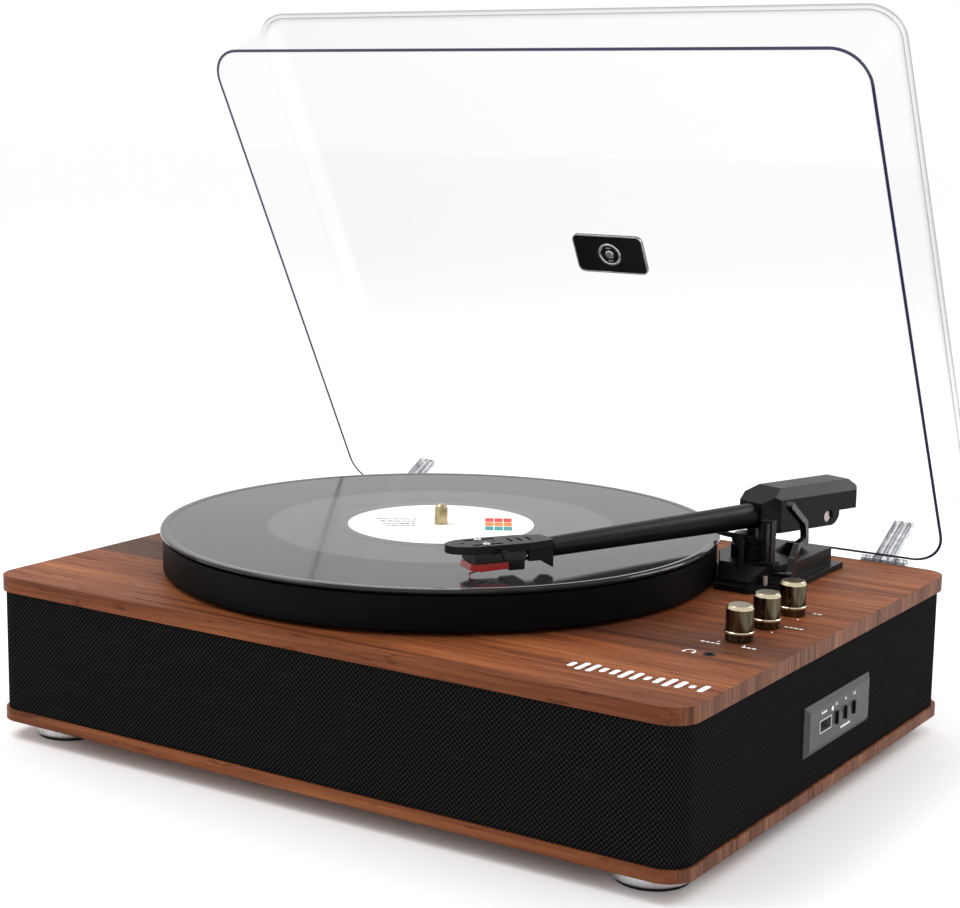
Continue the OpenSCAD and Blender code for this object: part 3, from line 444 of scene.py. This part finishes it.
def clear_hinge(name):
    """Thicker clear plastic, whose ribs gather dark lines."""
    plastic = Finish(name, (0.3, 0.32, 0.36), 0.06, IOR=1.49)
    graze = plastic.node("ShaderNodeLayerWeight", sockets={"Blend": 0.4}, out="Facing")
    x, _, _ = plastic.axes(plastic.place())
    ribs = (x * (2 * math.pi / (4.4 * MM))).sin().step(0.35, 0.9)
    mottle = plastic.noise(plastic.place(), 180.0, 3.0).step(0.4, 0.65)
    plastic.set("Base Color", plastic.mix((ribs * 0.7 + mottle * 0.3).clamp(), (0.42, 0.44, 0.48),
                                          (0.06, 0.065, 0.08)))
    plastic.set("Alpha", (graze * 0.5 + ribs * 0.4 + mottle * 0.2 + 0.14).clamp())
    return plastic

acrylic = clear_sheet("clear_acrylic")
hinge_clear = clear_hinge("clear_hinge_plastic")
dress(acrylic, "dust_cover")
dress(hinge_clear, "hinge_bases", "hinge_arms")

# %% [markdown]
# ## Small parts made as meshes
# Screws, the ring on the badge and the signs beside the buttons are small turned or cut shapes.
# `lathe` turns an outline about an axis and `plates` cuts flat outlines; `add` gives the mesh its
# finish, sets it in place and fixes it to a body, so that it moves with the joints.

# %% Tools for the small parts
def add(name, mesh, body, finish, place=Matrix()):
    mesh.transform(place)
    piece = bpy.data.objects.new(name, mesh)
    bpy.context.scene.collection.objects.link(piece)
    mesh.materials.append(finish.material)
    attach(piece, body)
    print(f"{name}: {len(mesh.polygons)} faces on {body}")
    return piece

def frame_at(origin, right, up):
    """A placement whose X and Y follow right and up, and whose Z looks out of the surface."""
    right, up = Vector(right).normalized(), Vector(up).normalized()
    return Matrix.Translation(origin) @ Matrix((right, up, right.cross(up))).transposed().to_4x4()

def lathe(outline, steps=40):
    """Turns (radius, height) points, in mm, about Z. A radius of 0 closes the form."""
    form = bmesh.new()
    rings = []
    for radius_mm, height in outline:
        count = 1 if radius_mm == 0 else steps
        turns = [2 * math.pi * k / steps for k in range(count)]
        rings.append([form.verts.new((radius_mm * MM * math.cos(t), radius_mm * MM * math.sin(t),
                                      height * MM)) for t in turns])
    for low, high in zip(rings, rings[1:]):
        for k in range(steps):
            n = (k + 1) % steps
            ends = [low[k % len(low)], low[n % len(low)], high[n % len(high)], high[k % len(high)]]
            form.faces.new(list(dict.fromkeys(ends)))
    mesh = bpy.data.meshes.new("lathe")
    form.to_mesh(mesh)
    return mesh

def plates(outlines, low, high):
    """Flat pieces between two heights in mm, one for each outline of (x, y) points in mm."""
    form = bmesh.new()
    for outline in outlines:
        bottom = [form.verts.new((x * MM, y * MM, low * MM)) for x, y in outline]
        top = [form.verts.new((x * MM, y * MM, high * MM)) for x, y in outline]
        form.faces.new(bottom[::-1])
        form.faces.new(top)
        for k in range(len(outline)):
            n = (k + 1) % len(outline)
            form.faces.new((bottom[k], bottom[n], top[n], top[k]))
    mesh = bpy.data.meshes.new("plates")
    form.to_mesh(mesh)
    return mesh

def join(*parts):
    form = bmesh.new()
    for mesh, place in parts:
        mesh.transform(place)
        form.from_mesh(mesh)
    whole = bpy.data.meshes.new("joined")
    form.to_mesh(whole)
    return whole

def oblong(x, y, w, h):
    """The four corners of a bar w by h about a point."""
    return [(x + a * w / 2, y + b * h / 2) for a, b in ((-1, -1), (1, -1), (1, 1), (-1, 1))]

def screw_head(r):
    """A domed head with a slot, seated a little below the surface."""
    head = lathe([(0, -0.3), (r, -0.3), (r, r * 0.18), (r * 0.86, r * 0.36), (r * 0.4, r * 0.5),
                  (0, r * 0.52)], 28)
    slot = plates([oblong(0, 0, r * 1.5, r * 0.28)], r * 0.3, r * 0.56)
    return head, slot

# %% [markdown]
# ## The badge on the cover
# The badge carries a chrome ring with a plain dot and two short bars, and a bright frame round
# its edge. It sits on the inside of the lid, so it is seen through the open front.

# %% Badge ring and frame
inward = Vector((0, -math.sin(OPEN), -math.cos(OPEN)))
lid_up = Vector((0, -math.cos(OPEN), math.sin(OPEN)))
badge_mid = sum((Vector(c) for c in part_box("cover_badge")), Vector()) / 2
badge_face = frame_at(badge_mid + inward * 0.5 * MM, (1, 0, 0), lid_up)
ring = lathe([(5.8, 0), (7.2, 0), (7.2, 0.5), (6.9, 0.8), (6.1, 0.8), (5.8, 0.5), (5.8, 0)], 64)
dot = lathe([(0, 0), (2.6, 0), (2.6, 0.5), (2.2, 0.8), (0, 0.9)], 40)
arc_bars = plates([oblong(0, y, w, 0.5) for y, w in ((-4.2, 3), (4.2, 3))], 0, 0.5)
add("badge_ring", join((ring, Matrix()), (dot, Matrix()), (arc_bars, Matrix())), "cover",
    chrome, badge_face)

def rounded(w, h, r, steps=8):
    points = []
    for cx, cy, start in ((1, 1, 0), (-1, 1, 90), (-1, -1, 180), (1, -1, 270)):
        for k in range(steps + 1):
            t = math.radians(start + 90 * k / steps)
            points.append((cx * (w / 2 - r) + r * math.cos(t), cy * (h / 2 - r) + r * math.sin(t)))
    return points

def border(w, h, r, width, low, high):
    outer, inner = rounded(w, h, r), rounded(w - 2 * width, h - 2 * width, r - width)
    form = bmesh.new()
    loops = [[form.verts.new((x * MM, y * MM, z * MM)) for x, y in line]
             for line, z in ((outer, low), (outer, high), (inner, high), (inner, low))]
    for a, b in zip(loops, loops[1:] + loops[:1]):
        for k in range(len(a)):
            n = (k + 1) % len(a)
            form.faces.new((a[k], a[n], b[n], b[k]))
    mesh = bpy.data.meshes.new("border")
    form.to_mesh(mesh)
    return mesh

add("badge_frame", border(46, 25, 4, 0.7, -0.2, 0.35), "cover", chrome, badge_face)

# %% [markdown]
# ## Signs beside the buttons and sockets
# Small printed signs stand over the three buttons, and short rows of dashes stand for the printed
# words. On the back a dash row stands by each socket.

# %% Panel signs
white_sign = print_white("sign_print")
panel_low, panel_high = (Vector(c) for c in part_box("control_panel"))
panel_mid = (panel_low + panel_high) / 2
panel_face = frame_at((panel_high.x, panel_mid.y, panel_mid.z), (0, 1, 0), (0, 0, 1))
signs = [oblong(-4 + k * 2.0 - 2, 7.1, 0.5, 1.6) for k in range(2)]
signs += [[(5.6, 6.3), (7.4, 7.1), (5.6, 7.9)], [(16.0, 6.3), (17.4, 7.1), (16.0, 7.9)]]
signs += [oblong(18.2, 7.1, 0.5, 1.6)]
signs += [oblong(2 + k * 2.4, -6.4, 1.7, 1.1) for k in range(5)]
signs += [oblong(-22 + k * 2.2, 6.6, 1.5, 1.1) for k in range(3)]
add("panel_signs", plates(signs, 0, 0.06), "plinth", white_sign, panel_face)

rear_low, rear_high = (Vector(c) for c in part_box("rear_panel"))
rear_mid = (rear_low + rear_high) / 2
rear_face = frame_at((rear_mid.x, rear_high.y, rear_mid.z), (-1, 0, 0), (0, 0, 1))
word_rows = ((37, 10, 4), (8, 10, 2), (-54, 10, 3), (46, -12, 6))
rows = [oblong(x + k * 2.4, y, 1.7, 1.2) for x, y, dashes in word_rows for k in range(dashes)]
add("rear_signs", plates(rows, 0, 0.08), "plinth", white_sign, rear_face)

# %% Screws
def screws(name, body, places, r):
    parts = []
    for place in places:
        head, slot = screw_head(r)
        parts += [(head, place), (slot, place)]
    add(name, join(*parts), body, steel)

SCREW_INSET = 5 * MM
half_w = (rear_high.x - rear_low.x) / 2 - SCREW_INSET
half_h = (rear_high.z - rear_low.z) / 2 - SCREW_INSET
rear_places = [frame_at((x * half_w, rear_high.y, rear_mid.z + z * half_h), (-1, 0, 0), (0, 0, 1))
               for x in (-1, 1) for z in (-1, 1)]
screws("rear_panel_screws", "plinth", rear_places, 2.4)

# The headshell's two screws stand in its slots, on the line of the shell over the needle.
ARM_YAW, SHELL_YAW = 19.7, 13.4
shell_turn = math.radians(ARM_YAW + SHELL_YAW)
shell_back = Vector((math.sin(shell_turn), math.cos(shell_turn), 0))
shell_right = Vector((shell_back.y, -shell_back.x, 0))
shell_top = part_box("headshell")[1][2]
needle = sum((Vector(c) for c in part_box("stylus")), Vector()) / 2
screw_mid = needle - shell_back * 1.5 * MM
screw_mid.z = shell_top
shell_places = [frame_at(screw_mid + shell_right * x * MM, shell_right, shell_back)
                for x in (-5.5, 5.5)]
screws("headshell_screws", "arm", shell_places, 1.9)

# %% [markdown]
# ## Floor, light and camera
# A pale floor and a white surround light the player softly from everywhere; one large soft lamp
# from above and behind the camera gives the shapes their highlights and a faint shadow.

# %% Floor
FLOOR_HALF = 12.0

def make_floor():
    """A plain pale square, FLOOR_HALF metres each way from the middle."""
    mesh = bpy.data.meshes.new("floor")
    places = [(x * FLOOR_HALF, y * FLOOR_HALF, 0) for x, y in ((-1, -1), (1, -1), (1, 1), (-1, 1))]
    mesh.from_pydata(places, [], [(0, 1, 2, 3)])
    floor = bpy.data.objects.new("floor", mesh)
    bpy.context.scene.collection.objects.link(floor)
    pale = Finish("pale_floor", (0.975, 0.975, 0.975), 0.6, Specular_IOR_Level=0.1)
    mesh.materials.append(pale.material)

make_floor()

# %% Surround and lamps
world = bpy.data.worlds.new("studio")
bpy.context.scene.world = world
world.use_nodes = True
world.node_tree.nodes["Background"].inputs["Color"].default_value = (1, 1, 1, 1)
world.node_tree.nodes["Background"].inputs["Strength"].default_value = 1.02

def soft_lamp(name, place, aim, size, watts):
    data = bpy.data.lights.new(name, "AREA")
    data.shape, data.size, data.energy = "DISK", size, watts
    lamp = bpy.data.objects.new(name, data)
    bpy.context.scene.collection.objects.link(lamp)
    lamp.location = place
    lamp.rotation_euler = (Vector(aim) - Vector(place)).to_track_quat("-Z", "Y").to_euler()

soft_lamp("key_lamp", (-0.9, -0.5, 1.7), (0, 0, 0.1), 1.1, 14)
soft_lamp("rim_lamp", (0.9, 1.2, 1.1), (0, 0, 0.1), 0.8, 10)

# %% Camera
def aim_camera(place, yaw, pitch, roll, lens):
    data = bpy.data.cameras.new("camera")
    data.lens, data.sensor_width, data.sensor_fit = lens, 36.0, "HORIZONTAL"
    data.clip_start, data.clip_end = 0.01, 60
    camera = bpy.data.objects.new("camera", data)
    bpy.context.scene.collection.objects.link(camera)
    yaw, pitch, roll = (math.radians(a) for a in (yaw, pitch, roll))
    ahead = Vector((-math.sin(yaw), math.cos(yaw), 0)) * math.cos(pitch)
    ahead.z = -math.sin(pitch)
    level = Vector((math.cos(yaw), math.sin(yaw), 0))
    upright = level.cross(ahead)
    right = level * math.cos(roll) + upright * math.sin(roll)
    up = upright * math.cos(roll) - level * math.sin(roll)
    turn = Matrix((right, up, -ahead)).transposed().to_4x4()
    camera.matrix_world = Matrix.Translation(place) @ turn
    bpy.context.scene.camera = camera

aim_camera((0.56118, -0.86284, 0.33249), 33.07, 9.89, 0.87, 73.81)
bpy.context.scene.view_settings.view_transform = "Standard"
